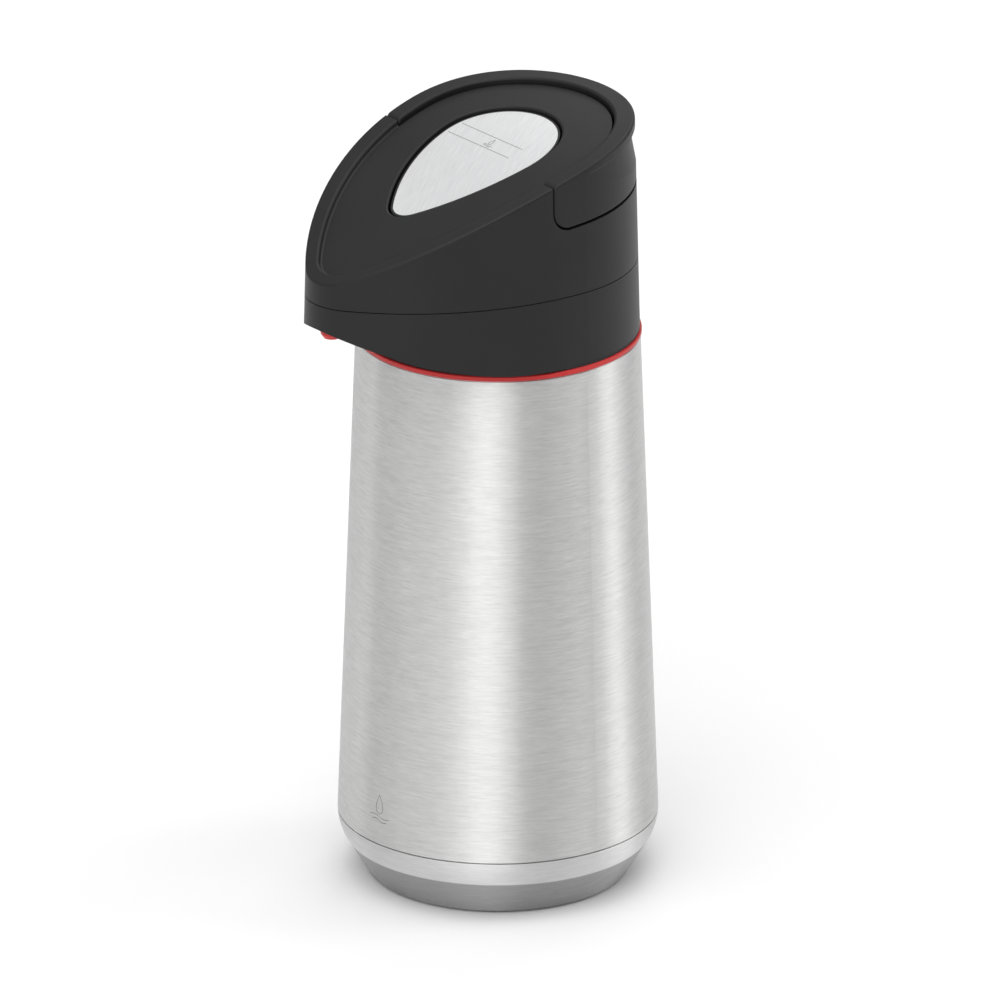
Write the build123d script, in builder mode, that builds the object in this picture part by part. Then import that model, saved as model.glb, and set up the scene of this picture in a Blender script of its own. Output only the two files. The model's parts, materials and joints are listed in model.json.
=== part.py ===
from build123d import *
from math import cos, hypot, radians, sin
import os

os.makedirs("parts", exist_ok=True)

# Pump pot, millimetres, +Z up.  The origin is the centre of the resting face, on the
# bottle's axis.  The pouring nose points along -Y and the head is symmetric about X = 0.

# ---------------------------------------------------------------- bottle
SHELL_Z0 = 29.6          # visible lower edge of the outer shell
SHELL_Z1 = 258.4         # top of the flat shoulder
SHELL_R0 = 72.5          # outer radius at the lower edge
SHELL_R1 = 64.1          # outer radius at the shoulder
STEEL = 0.8              # sheet thickness of both bottle walls
SKIRT_R = 70.3           # stepped-in skirt hidden in the base cup
SKIRT_Z0 = 24.0
NECK_R = 36.8            # outside of the outer neck
LIP_Z = 268.0            # top of the bottle's mouth
MOUTH_R = 34.0           # inside of the mouth
LINER_R0 = 64.5          # liner outside, low down
LINER_R1 = 57.0          # liner outside, under its shoulder
LINER_Z0 = 20.0
LINER_Z1 = 224.0

# ---------------------------------------------------------------- base cup
CUP_TOP_Z = 29.0
CUP_TOP_R = 72.4
CUP_EDGE_R = 69.2        # where the rounded shoulder turns into the foot cone
CUP_EDGE_Z = 18.0
CUP_FOOT_R = 58.6
CUP_Z0 = 0.8
CUP_HOLE_R = 53.8

# ---------------------------------------------------------------- head outline in plan
HEAD_R = 62.95           # rear arc, at the parting line
HEAD_L = 103.7           # axis to nose tip
HEAD_NOSE = 23.8         # nose arc
HEAD_ANGLE = 91.0        # where the rear arc meets the side arc, from the nose direction
DRAFT = 1.4              # degrees, the walls lean inward going up
PART_Z = 295.3           # parting line between the two housings
COLLAR_Z = 261.8         # underside of the collar
COLLAR_R = 63.6
COLLAR_T = 6.4           # height of the collar's round band
WALL = 2.6

# ---------------------------------------------------------------- curved top
TOP_Z = 353.0            # height of the top surface over the axis
TOP_SLOPE = 0.266
TOP_BEND = 0.00185
PANEL_DROP = 2.7         # panel below the rim
PANEL_T = 2.4
RIM_W = 9.3              # width of the raised rim behind the axis ...
RIM_FRONT = 6.4          # ... and round the nose
RIM_ROUND = 1.2
FOOT_ROUND = 1.0
WELL_ROUND = 0.8

# ---------------------------------------------------------------- nose
NOSE_F = 22.0            # the underside starts to rise here, ahead of the axis ...
NOSE_SWEEP = 164.0       # ... along an arc of this radius
SPOUT_F = 94.8
NOZZLE_Z0 = 277.8
NOZZLE_R = 5.0
NOZZLE_TIP = 2.0         # height of the tapered tip
NOZZLE_TIP_R = 3.7
PIPE_END_Z = 279.4       # the pipe stops on a shoulder inside the nozzle

# ---------------------------------------------------------------- push button
DROP_R = 29.7            # steel face: rear arc
DROP_L = 53.5
DROP_NOSE = 9.9
DROP_ANGLE = 83.8
PUMP_Y = -3.7            # axis of the bellows and of the button's rear arc
PLATE_DROP = 4.1         # steel face below the rim
PLATE_T = 0.8
BUTTON_BORDER = 1.0
BUTTON_GAP = 1.1
GUIDE_T = 1.8
GUIDE_Z0 = 313.4
BUTTON_Z0 = 311.0

# ---------------------------------------------------------------- carry handle
HANDLE_F = 16.0          # front end of each arm
HANDLE_Z0 = 327.6        # lowest point, at the rounded front corners
HANDLE_RISE = 4.2        # degrees, the lower edge climbs towards the back
HANDLE_LOW_R = 8.0
HANDLE_TOP_R = 3.2
PIVOT_F = 7.0
PIVOT_Z = 343.0
PIN_R = 2.2
PIN_CLEAR = 0.05
HANDLE_GAP = 0.8
HANDLE_SKIRT = 6.0
RIM_T = 4.0
NECK_GAP = 1.0           # slot between the handle's rim and the panel

# ---------------------------------------------------------------- pump
DECK_Z0 = 274.0
DECK_Z1 = 276.5
TUBE_Y = -14.0
TUBE_R = 4.0
TUBE_BORE = 3.0
PUMP_Z = 289.9           # seat of the bellows
BELLOWS_Z1 = 332.0
BELLOWS_R = 25.5

PUMP_BASE_Z = 286.5
CAP_Z1 = 335.0
PIN_END = 58.8

# finger groove of the handle: the wall leans in under a thin rim
GROOVE_R = 61.8
GROOVE_SHIFT = 3.2       # its axis is this far ahead, so that it fades towards the pivots
GROOVE_Z = 350.0
GROOVE_TILT = 7.5
GROOVE_DEPTH = 31.0
GROOVE_SPREAD = 2.3      # how much wider it is at its lower end

# screws: two behind and two ahead in the collar, four round the pump
SCREW_REAR = [(38.0, 38.0), (-38.0, 38.0)]
SCREW_FRONT = [(30.0, -44.4), (-30.0, -44.4)]
PUMP_SCREWS = [(26.0, 11.3), (-26.0, 11.3), (26.0, -18.7), (-26.0, -18.7)]
SCREW_SPOTS_LOW = [(x, y, DECK_Z1) for x, y in SCREW_REAR + SCREW_FRONT]
SCREW_SPOTS_UNDER = [(x, y, DECK_Z0) for x, y in SCREW_REAR + SCREW_FRONT]
SCREW_SPOTS_REAR = [(x, y, PART_Z + 0.2) for x, y in SCREW_REAR]
SCREW_SPOTS_FRONT = [(x, y, PART_Z + 0.2) for x, y in SCREW_FRONT]
SCREW_SPOTS_TOP = [(x, y, PART_Z + 0.2) for x, y in SCREW_REAR + SCREW_FRONT]
PUMP_SPOTS_LOW = [(x, y, DECK_Z1) for x, y in PUMP_SCREWS]
PUMP_SPOTS_BASE = [(x, y, PUMP_BASE_Z) for x, y in PUMP_SCREWS]
PUMP_SPOTS_TOP = [(x, y, PUMP_Z) for x, y in PUMP_SCREWS]

FAR = 400.0              # longer than the whole object
ABOVE = 375.0            # over the top of the head
ROOM_Z = 320.0           # under the handle's lower edge


def top_z(f):
    """Height of the curved top at the distance f ahead of the axis."""
    return TOP_Z - TOP_SLOPE * f - TOP_BEND * f * f


def drop_outline(radius, length, nose, angle, inset, z, y0=0.0):
    """Pear-shaped outline: a rear arc, two long side arcs and a nose arc, all tangent."""
    s = sin(radians(angle))
    c = cos(radians(angle))
    reach = length - nose
    k = ((radius - nose) ** 2 - reach ** 2) / (2 * (c * reach - (radius - nose)))
    side_r = radius + k - inset
    # centre of the right-hand side arc, and the direction from it to the nose arc's centre
    cx, cy = -k * s, k * c
    span = hypot(cx, reach + cy)
    tip_dir = (-cx / span, (-reach - cy) / span)
    mid = (s + tip_dir[0], -c + tip_dir[1])
    mid_len = hypot(*mid)
    shoulder = ((radius - inset) * s, -(radius - inset) * c)
    middle = (cx + side_r * mid[0] / mid_len, cy + side_r * mid[1] / mid_len)
    tip = (cx + side_r * tip_dir[0], cy + side_r * tip_dir[1])
    with BuildSketch(Plane.XY.offset(z)) as outline:
        with BuildLine():
            ThreePointArc(
                (shoulder[0], shoulder[1] + y0), (0, radius - inset + y0), (-shoulder[0], shoulder[1] + y0)
            )
            ThreePointArc(
                (-shoulder[0], shoulder[1] + y0), (-middle[0], middle[1] + y0), (-tip[0], tip[1] + y0)
            )
            ThreePointArc((-tip[0], tip[1] + y0), (0, inset - length + y0), (tip[0], tip[1] + y0))
            ThreePointArc(
                (tip[0], tip[1] + y0), (middle[0], middle[1] + y0), (shoulder[0], shoulder[1] + y0)
            )
        make_face()
    return outline.sketch


def head_block(inset, z0, z1, narrow=0.0):
    """Solid of the head's outline with its draft, between two heights."""
    grow = (PART_Z - z0) * sin(radians(DRAFT))
    face = drop_outline(HEAD_R - narrow, HEAD_L, HEAD_NOSE, HEAD_ANGLE, inset - grow, z0)
    return extrude(face, amount=z1 - z0, taper=DRAFT, mode=Mode.PRIVATE)


def panel_block(inset, z0, z1):
    """Solid of the recessed panel's outline; the rim round it is narrower at the nose."""
    return head_block(RIM_FRONT + inset, z0, z1, narrow=RIM_W - RIM_FRONT)


def button_block(grow, z0, z1):
    """Straight solid of the button's pear outline."""
    face = drop_outline(DROP_R, DROP_L, DROP_NOSE, DROP_ANGLE, -grow, z0, PUMP_Y)
    return extrude(face, amount=z1 - z0, mode=Mode.PRIVATE)


def under_top(drop):
    """Everything below the curved top lowered by drop."""
    f0, f1 = -90.0, 130.0
    fm = (f0 + f1) / 2
    z_mid = top_z(f0) - (TOP_SLOPE + 2 * TOP_BEND * f0) * (fm - f0)
    with BuildSketch(Plane.YZ) as side:
        with BuildLine():
            Bezier((-f0, top_z(f0) - drop), (-fm, z_mid - drop), (-f1, top_z(f1) - drop))
            Polyline((-f1, top_z(f1) - drop), (-f1, 0), (-f0, 0), (-f0, top_z(f0) - drop))
        make_face()
    return extrude(side.sketch, amount=FAR / 2, both=True, mode=Mode.PRIVATE)


def handle_side(gap):
    """Side view of the handle, grown by gap, through the full width."""
    rise = radians(HANDLE_RISE)
    r = HANDLE_LOW_R + gap
    # centre of the rounded lower corner
    cy = HANDLE_LOW_R - HANDLE_F
    cz = HANDLE_Z0 + HANDLE_LOW_R
    mid = radians(225 + HANDLE_RISE / 2)
    low = (cy + r * sin(rise), cz - r * cos(rise))
    back = (FAR / 2, low[1] + (FAR / 2 - low[0]) * sin(rise) / cos(rise))
    with BuildSketch(Plane.YZ) as side:
        with BuildLine():
            ThreePointArc((cy - r, cz), (cy + r * cos(mid), cz + r * sin(mid)), low)
            Polyline(low, back, (FAR / 2, FAR), (cy - r, FAR), (cy - r, cz))
        make_face()
    return extrude(side.sketch, amount=FAR / 2, both=True, mode=Mode.PRIVATE)


def nose_cut(thick):
    """Everything under the nose's curved underside, or under its floor of that thickness."""
    r = NOSE_SWEEP - thick
    zc = COLLAR_Z + NOSE_SWEEP
    mid, end = radians(20), radians(40)
    with BuildSketch(Plane.YZ) as side:
        with BuildLine():
            ThreePointArc(
                (-NOSE_F, zc - r),
                (-NOSE_F - r * sin(mid), zc - r * cos(mid)),
                (-NOSE_F - r * sin(end), zc - r * cos(end)),
            )
            Polyline(
                (-NOSE_F - r * sin(end), zc - r * cos(end)),
                (-NOSE_F - r * sin(end), 0),
                (FAR / 2, 0),
                (FAR / 2, zc - r),
                (-NOSE_F, zc - r),
            )
        make_face()
    return extrude(side.sketch, amount=FAR / 2, both=True, mode=Mode.PRIVATE)


def on_top(edge, drop):
    """True if the whole edge lies on the curved top lowered by drop."""
    spots = [edge @ u for u in (0, 0.25, 0.5, 0.75, 1)]
    return all(abs(p.Z - top_z(-p.Y) + drop) < 0.15 for p in spots)


def round_well(edge):
    """True for the edges round the mouth of the button's well."""
    mid = edge @ 0.5
    return abs(mid.X) < DROP_R + 3.3 and -DROP_L - 8.5 < mid.Y < DROP_R + 1.8


def near_end(edge):
    """True for the short edges across the front ends of the handle or its room."""
    y = (edge @ 0.5).Y
    return abs(y + HANDLE_F) < 1.1 and abs(y - (edge @ 0).Y) < 0.5


# ================================================================ bottle and base
with BuildPart() as outer_shell:
    with BuildSketch(Plane.XZ):
        with BuildLine():
            Polyline(
                (SKIRT_R, SKIRT_Z0),
                (SKIRT_R, SHELL_Z0),
                (SHELL_R0, SHELL_Z0),
                (SHELL_R1, SHELL_Z1 - 0.6),
                (SHELL_R1 - 0.6, SHELL_Z1),
                (NECK_R, SHELL_Z1),
                (NECK_R, LIP_Z - 0.6),
                (NECK_R - 0.6, LIP_Z),
                (MOUTH_R + STEEL, LIP_Z),
                (MOUTH_R + STEEL, LIP_Z - STEEL),
                (NECK_R - STEEL, LIP_Z - STEEL),
                (NECK_R - STEEL, SHELL_Z1 - STEEL),
                (SHELL_R1 - 1.3, SHELL_Z1 - STEEL),
                (SHELL_R0 - STEEL, SHELL_Z0 + STEEL),
                (SKIRT_R - STEEL, SHELL_Z0 + STEEL),
                (SKIRT_R - STEEL, SKIRT_Z0),
                close=True,
            )
        make_face()
    revolve(axis=Axis.Z)
outer_shell.part.label = "outer_shell"
export_step(outer_shell.part, "parts/outer_shell.step")

with BuildPart() as shell_bottom:
    with BuildSketch(Plane.XZ):
        with BuildLine():
            Polyline(
                (0, 12.0),
                (50.0, 12.0),
                (66.0, 17.5),
                (SKIRT_R - STEEL, 22.0),
                (SKIRT_R - STEEL, SHELL_Z0),
                (SKIRT_R - 2 * STEEL, SHELL_Z0),
                (SKIRT_R - 2 * STEEL, 22.4),
                (65.5, 18.2),
                (49.8, 12.0 + STEEL),
                (0, 12.0 + STEEL),
                close=True,
            )
        make_face()
    revolve(axis=Axis.Z)
    with Locations((0, 0, 10.0)):
        Cylinder(1.5, 10.0, align=(Align.CENTER, Align.CENTER, Align.MIN), mode=Mode.SUBTRACT)
shell_bottom.part.label = "shell_bottom"
export_step(shell_bottom.part, "parts/shell_bottom.step")

with BuildPart() as vacuum_seal:
    with Locations((0, 0, 10.4)):
        Cylinder(6.0, 1.6, align=(Align.CENTER, Align.CENTER, Align.MIN))
    with Locations((0, 0, 12.0)):
        Cylinder(1.5, STEEL, align=(Align.CENTER, Align.CENTER, Align.MIN))
vacuum_seal.part.label = "vacuum_seal"
export_step(vacuum_seal.part, "parts/vacuum_seal.step")

with BuildPart() as getter:
    with Locations((30.0, 0, 12.0 + STEEL)):
        Cylinder(7.0, 3.0, align=(Align.CENTER, Align.CENTER, Align.MIN))
getter.part.label = "getter"
export_step(getter.part, "parts/getter.step")

with BuildPart() as inner_liner:
    with BuildSketch(Plane.XZ):
        with BuildLine():
            Line((0, LINER_Z0), (LINER_R0 - 12, LINER_Z0))
            RadiusArc((LINER_R0 - 12, LINER_Z0), (LINER_R0, LINER_Z0 + 12), -12)
            Line((LINER_R0, LINER_Z0 + 12), (LINER_R1, LINER_Z1))
            RadiusArc((LINER_R1, LINER_Z1), (MOUTH_R + STEEL, 246.0), -24)
            Polyline(
                (MOUTH_R + STEEL, 246.0),
                (MOUTH_R + STEEL, LIP_Z),
                (MOUTH_R, LIP_Z),
                (MOUTH_R, 245.4),
            )
            RadiusArc((MOUTH_R, 245.4), (LINER_R1 - STEEL, LINER_Z1), 23.2)
            Line((LINER_R1 - STEEL, LINER_Z1), (LINER_R0 - STEEL, LINER_Z0 + 12))
            RadiusArc((LINER_R0 - STEEL, LINER_Z0 + 12), (LINER_R0 - 12, LINER_Z0 + STEEL), 11.2)
            Polyline((LINER_R0 - 12, LINER_Z0 + STEEL), (0, LINER_Z0 + STEEL), (0, LINER_Z0))
        make_face()
    revolve(axis=Axis.Z)
inner_liner.part.label = "inner_liner"
export_step(inner_liner.part, "parts/inner_liner.step")

with BuildPart() as base_cup:
    with BuildSketch(Plane.XZ):
        with BuildLine():
            Spline(
                (CUP_TOP_R, CUP_TOP_Z),
                (71.6, 23.6),
                (CUP_EDGE_R, CUP_EDGE_Z),
                tangents=((0, -1), (-0.52, -0.85)),
            )
            Line((CUP_EDGE_R, CUP_EDGE_Z), (CUP_FOOT_R + 0.7, CUP_Z0 + 1.2))
            RadiusArc((CUP_FOOT_R + 0.7, CUP_Z0 + 1.2), (CUP_FOOT_R - 1.0, CUP_Z0), 1.6)
            Polyline(
                (CUP_FOOT_R - 1.0, CUP_Z0),
                (CUP_HOLE_R, CUP_Z0),
                (CUP_HOLE_R, CUP_Z0 + STEEL),
                (CUP_FOOT_R - 1.0, CUP_Z0 + STEEL),
                (CUP_EDGE_R - 1.0, CUP_EDGE_Z + 0.3),
            )
            Spline(
                (CUP_EDGE_R - 1.0, CUP_EDGE_Z + 0.3),
                (70.75, 23.8),
                (CUP_TOP_R - 0.9, CUP_TOP_Z),
                tangents=((0.52, 0.85), (0, 1)),
            )
            Line((CUP_TOP_R - 0.9, CUP_TOP_Z), (CUP_TOP_R, CUP_TOP_Z))
        make_face()
    revolve(axis=Axis.Z)
base_cup.part.label = "base_cup"
export_step(base_cup.part, "parts/base_cup.step")

with BuildPart() as base_plate:
    with BuildSketch(Plane.XZ):
        with BuildLine():
            Polyline(
                (0, 2.2),
                (52.0, 2.2),
                (52.0, 1.0),
                (53.5, 1.0),
                (53.5, CUP_Z0 + STEEL),
                (56.0, CUP_Z0 + STEEL),
                (56.0, 4.6),
                (12.0, 4.6),
                (12.0, 10.4),
                (9.0, 10.4),
                (9.0, 4.6),
                (0, 4.6),
                close=True,
            )
        make_face()
    revolve(axis=Axis.Z)
base_plate.part.label = "base_plate"
export_step(base_plate.part, "parts/base_plate.step")

with BuildPart() as foot_pad:
    with BuildSketch(Plane.XZ):
        with BuildLine():
            Polyline(
                (0, 0),
                (14.0, 0),
                (14.5, 0.7),
                (43.5, 0.7),
                (44.0, 0),
                (51.4, 0),
                (51.8, 0.4),
                (51.8, 2.2),
                (0, 2.2),
                close=True,
            )
        make_face()
    revolve(axis=Axis.Z)
foot_pad.part.label = "foot_pad"
export_step(foot_pad.part, "parts/foot_pad.step")

with BuildPart() as accent_ring:
    with BuildSketch(Plane.XZ):
        with BuildLine():
            Polyline(
                (59.0, SHELL_Z1),
                (64.2, SHELL_Z1),
                (64.6, SHELL_Z1 + 0.4),
                (64.6, 260.3),
                (64.2, 260.7),
                (59.0, 260.7),
                close=True,
            )
        make_face()
    revolve(axis=Axis.Z)
accent_ring.part.label = "accent_ring"
export_step(accent_ring.part, "parts/accent_ring.step")

with BuildPart() as neck_ring:
    with BuildSketch(Plane.XZ):
        with BuildLine():
            Polyline(
                (37.2, SHELL_Z1),
                (58.8, SHELL_Z1),
                (58.8, 260.7),
                (63.5, 260.7),
                (63.5, 261.5),
                (56.5, 261.5),
                (56.5, 270.0),
                (53.5, 270.0),
                (53.5, 261.9),
                (41.0, 261.9),
                (41.0, 266.0),
                (37.2, 266.0),
                close=True,
            )
        make_face()
    revolve(axis=Axis.Z)
    # screw thread: one raised helical rib around the outside
    with BuildLine(Plane.XY.offset(264.0)):
        rib_path = Helix(pitch=3.6, height=4.2, radius=56.9)
    with BuildSketch(Plane(origin=rib_path @ 0, x_dir=(1, 0, 0), z_dir=rib_path % 0)):
        Trapezoid(2.4, 1.4, 60, rotation=-90)
    sweep(path=rib_path, is_frenet=True)
neck_ring.part.label = "neck_ring"
export_step(neck_ring.part, "parts/neck_ring.step")

# ================================================================ head: housings
with BuildPart() as lower_housing:
    add(head_block(0, COLLAR_Z, PART_Z - 0.2))
    add(nose_cut(0), mode=Mode.SUBTRACT)
    # the collar itself stays round and level all the way round the neck
    with Locations((0, 0, COLLAR_Z)):
        Cylinder(COLLAR_R, COLLAR_T, align=(Align.CENTER, Align.CENTER, Align.MIN))
    # hollow above the deck
    upper_room = head_block(WALL, DECK_Z1, PART_Z + 1) - nose_cut(WALL)
    add(upper_room, mode=Mode.SUBTRACT)
    # hollow of the nose and the collar's double wall, below the deck
    with BuildSketch(Plane.XY.offset(COLLAR_Z)):
        Circle(61.0)
    bore_wall = extrude(amount=DECK_Z1 - COLLAR_Z + 5, mode=Mode.PRIVATE)
    nose_room = head_block(WALL + 0.4, COLLAR_Z + 2.6, DECK_Z1 + 0.5) - bore_wall - nose_cut(WALL)
    add(nose_room, mode=Mode.SUBTRACT)
    # plain bore that drops over the threaded ring
    with Locations((0, 0, COLLAR_Z)):
        Cylinder(58.4, DECK_Z0 - COLLAR_Z, align=(Align.CENTER, Align.CENTER, Align.MIN), mode=Mode.SUBTRACT)
    # opening of the deck over the stopper
    with Locations((0, 0, DECK_Z0 - 1)):
        Cylinder(26.0, 4.0, align=(Align.CENTER, Align.CENTER, Align.MIN), mode=Mode.SUBTRACT)
    # slot ahead of it for the rising spout pipe
    with Locations((0, -20.0, DECK_Z0 - 1)):
        Box(10.0, 32.0, 4.0, align=(Align.CENTER, Align.MAX, Align.MIN), mode=Mode.SUBTRACT)
    # lip that locates the upper housing
    add(head_block(WALL + 0.1, PART_Z - 3, PART_Z + 3) - head_block(WALL + 1.7, PART_Z - 4, PART_Z + 4))
    add(head_block(WALL - 0.5, PART_Z - 3, PART_Z - 0.2) - head_block(WALL + 1.7, PART_Z - 4, PART_Z + 4))
    # bosses for the housing screws, counterbored from below
    with Locations(*SCREW_SPOTS_LOW):
        Cylinder(4.8, PART_Z - 0.3 - DECK_Z1, align=(Align.CENTER, Align.CENTER, Align.MIN))
    with Locations(*SCREW_SPOTS_UNDER):
        Cylinder(1.7, 40.0, align=(Align.CENTER, Align.CENTER, Align.MIN), mode=Mode.SUBTRACT)
        Cylinder(3.6, 4.0, align=(Align.CENTER, Align.CENTER, Align.MIN), mode=Mode.SUBTRACT)
    # legs under the pump base
    with Locations(*PUMP_SPOTS_LOW):
        Cylinder(4.0, PUMP_BASE_Z - DECK_Z1, align=(Align.CENTER, Align.CENTER, Align.MIN))
    with Locations(*PUMP_SPOTS_LOW):
        Cylinder(1.3, 12.0, align=(Align.CENTER, Align.CENTER, Align.MIN), mode=Mode.SUBTRACT)
    # hole for the nozzle
    with Locations((0, -SPOUT_F, 270.0)):
        Cylinder(NOZZLE_R + 0.1, 20.0, align=(Align.CENTER, Align.CENTER, Align.MIN), mode=Mode.SUBTRACT)
lower_housing.part.label = "lower_housing"
export_step(lower_housing.part, "parts/lower_housing.step")

with BuildPart() as upper_housing:
    add(head_block(0, PART_Z + 0.2, ABOVE) & under_top(0))
    # recessed panel, with soft edges on the rim and at its foot
    add(panel_block(0, 290.0, ABOVE) - under_top(PANEL_DROP), mode=Mode.SUBTRACT)
    fillet([e for e in edges() if on_top(e, 0)], radius=RIM_ROUND)
    fillet([e for e in edges() if on_top(e, PANEL_DROP)], radius=FOOT_ROUND)
    # room for the handle, all round the narrower rear part
    add(
        (head_block(-3, ROOM_Z, ABOVE) - panel_block(NECK_GAP, ROOM_Z, ABOVE)) & handle_side(HANDLE_GAP),
        mode=Mode.SUBTRACT,
    )
    # hollow below the shelf and in the front, then behind the handle
    front_room = head_block(WALL, PART_Z - 1, ABOVE) & under_top(PANEL_DROP + PANEL_T)
    add(front_room - handle_side(HANDLE_GAP + WALL), mode=Mode.SUBTRACT)
    add(
        panel_block(NECK_GAP + WALL, PART_Z - 1, ABOVE) & under_top(PANEL_DROP + PANEL_T),
        mode=Mode.SUBTRACT,
    )
    # guide wall round the button
    guide = button_block(BUTTON_BORDER + BUTTON_GAP + GUIDE_T, GUIDE_Z0, ABOVE) & under_top(PANEL_DROP + 0.5)
    add(guide)
    add(button_block(BUTTON_BORDER + BUTTON_GAP, 290.0, ABOVE), mode=Mode.SUBTRACT)
    fillet([e for e in edges() if on_top(e, PANEL_DROP) and round_well(e)], radius=WELL_ROUND)
    # bosses that hold the handle's pins
    with Locations((0, -PIVOT_F, PIVOT_Z)):
        with Locations(Rotation(0, 90, 0)):
            ears = Cylinder(4.2, 104.0, mode=Mode.PRIVATE) - Cylinder(5.0, 91.0, mode=Mode.PRIVATE)
    add(ears & under_top(PANEL_DROP + 0.3))
    with Locations((0, -PIVOT_F, PIVOT_Z)):
        with Locations(Rotation(0, 90, 0)):
            Cylinder(PIN_R, 125.0, mode=Mode.SUBTRACT)
    # screw posts
    with Locations(*SCREW_SPOTS_REAR):
        Cylinder(4.2, HANDLE_Z0 + 1.5 - PART_Z, align=(Align.CENTER, Align.CENTER, Align.MIN))
    with Locations(*SCREW_SPOTS_FRONT):
        Cylinder(4.2, 36.0, align=(Align.CENTER, Align.CENTER, Align.MIN))
    with Locations(*SCREW_SPOTS_TOP):
        Cylinder(1.5, 12.0, align=(Align.CENTER, Align.CENTER, Align.MIN), mode=Mode.SUBTRACT)
upper_housing.part.label = "upper_housing"
export_step(upper_housing.part, "parts/upper_housing.step")

with BuildPart() as housing_screws:
    with Locations(*SCREW_SPOTS_UNDER):
        with Locations((0, 0, 1.0)):
            Cylinder(3.2, 3.0, align=(Align.CENTER, Align.CENTER, Align.MIN))
        with Locations((0, 0, 4.0)):
            Cylinder(1.5, 27.0, align=(Align.CENTER, Align.CENTER, Align.MIN))
        Box(0.9, 4.6, 2.0, align=(Align.CENTER, Align.CENTER, Align.MIN), mode=Mode.SUBTRACT)
        Box(4.6, 0.9, 2.0, align=(Align.CENTER, Align.CENTER, Align.MIN), mode=Mode.SUBTRACT)
housing_screws.part.label = "housing_screws"
export_step(housing_screws.part, "parts/housing_screws.step")

# ================================================================ head: water path
with BuildPart() as stopper:
    with Locations((0, 0, 271.0)):
        Cylinder(46.0, DECK_Z0 - 271.0, align=(Align.CENTER, Align.CENTER, Align.MIN))
    with Locations((0, 0, 257.0)):
        Cylinder(33.2, 14.0, align=(Align.CENTER, Align.CENTER, Align.MIN))
        Cylinder(30.6, 13.0, align=(Align.CENTER, Align.CENTER, Align.MIN), mode=Mode.SUBTRACT)
    with Locations((0, TUBE_Y, 257.0)):
        Cylinder(6.2, 14.0, align=(Align.CENTER, Align.CENTER, Align.MIN))
    with Locations((0, TUBE_Y, 250.0)):
        Cylinder(TUBE_R + 0.05, 30.0, align=(Align.CENTER, Align.CENTER, Align.MIN), mode=Mode.SUBTRACT)
    with Locations((0, TUBE_Y, 270.5)):
        Cylinder(5.0, 4.0, align=(Align.CENTER, Align.CENTER, Align.MIN), mode=Mode.SUBTRACT)
    with Locations((0, PUMP_Y, 265.0)):
        Cylinder(2.5, 20.0, align=(Align.CENTER, Align.CENTER, Align.MIN), mode=Mode.SUBTRACT)
stopper.part.label = "stopper"
export_step(stopper.part, "parts/stopper.step")

with BuildPart() as mouth_gasket:
    with Locations((0, 0, LIP_Z)):
        Cylinder(40.0, 3.0, align=(Align.CENTER, Align.CENTER, Align.MIN))
        Cylinder(33.4, 3.0, align=(Align.CENTER, Align.CENTER, Align.MIN), mode=Mode.SUBTRACT)
mouth_gasket.part.label = "mouth_gasket"
export_step(mouth_gasket.part, "parts/mouth_gasket.step")

with BuildPart() as dip_tube:
    with Locations((0, TUBE_Y, 27.0)):
        Cylinder(TUBE_R, 237.0, align=(Align.CENTER, Align.CENTER, Align.MIN))
        Cylinder(TUBE_BORE, 237.0, align=(Align.CENTER, Align.CENTER, Align.MIN), mode=Mode.SUBTRACT)
    with Locations((0, TUBE_Y, 27.0)):
        Box(2.0, 12.0, 6.0, mode=Mode.SUBTRACT)
dip_tube.part.label = "dip_tube"
export_step(dip_tube.part, "parts/dip_tube.step")

with BuildPart() as tube_seal:
    with Locations((0, TUBE_Y, 254.4)):
        Cylinder(6.0, 2.6, align=(Align.CENTER, Align.CENTER, Align.MIN))
        Cylinder(TUBE_R, 2.6, align=(Align.CENTER, Align.CENTER, Align.MIN), mode=Mode.SUBTRACT)
tube_seal.part.label = "tube_seal"
export_step(tube_seal.part, "parts/tube_seal.step")

with BuildPart() as spout_pipe:
    with BuildLine() as pipe_path:
        FilletPolyline(
            (0, TUBE_Y, 264.2),
            (0, TUBE_Y, 277.5),
            (0, -SPOUT_F, 291.5),
            (0, -SPOUT_F, PIPE_END_Z),
            radius=6.0,
        )
    with BuildSketch(Plane.XY.offset(264.2)):
        with Locations((0, TUBE_Y)):
            Circle(TUBE_R)
            Circle(TUBE_BORE, mode=Mode.SUBTRACT)
    sweep(path=pipe_path.line)
spout_pipe.part.label = "spout_pipe"
export_step(spout_pipe.part, "parts/spout_pipe.step")

with BuildPart() as nozzle:
    with Locations((0, -SPOUT_F, NOZZLE_Z0)):
        Cone(NOZZLE_TIP_R, NOZZLE_R, NOZZLE_TIP, align=(Align.CENTER, Align.CENTER, Align.MIN))
    with Locations((0, -SPOUT_F, NOZZLE_Z0 + NOZZLE_TIP)):
        Cylinder(NOZZLE_R, 5.0, align=(Align.CENTER, Align.CENTER, Align.MIN))
    with Locations((0, -SPOUT_F, NOZZLE_Z0)):
        Cylinder(TUBE_BORE, 7.0, align=(Align.CENTER, Align.CENTER, Align.MIN), mode=Mode.SUBTRACT)
    with Locations((0, -SPOUT_F, PIPE_END_Z)):
        Cylinder(TUBE_R, 7.0, align=(Align.CENTER, Align.CENTER, Align.MIN), mode=Mode.SUBTRACT)
nozzle.part.label = "nozzle"
export_step(nozzle.part, "parts/nozzle.step")

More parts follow.
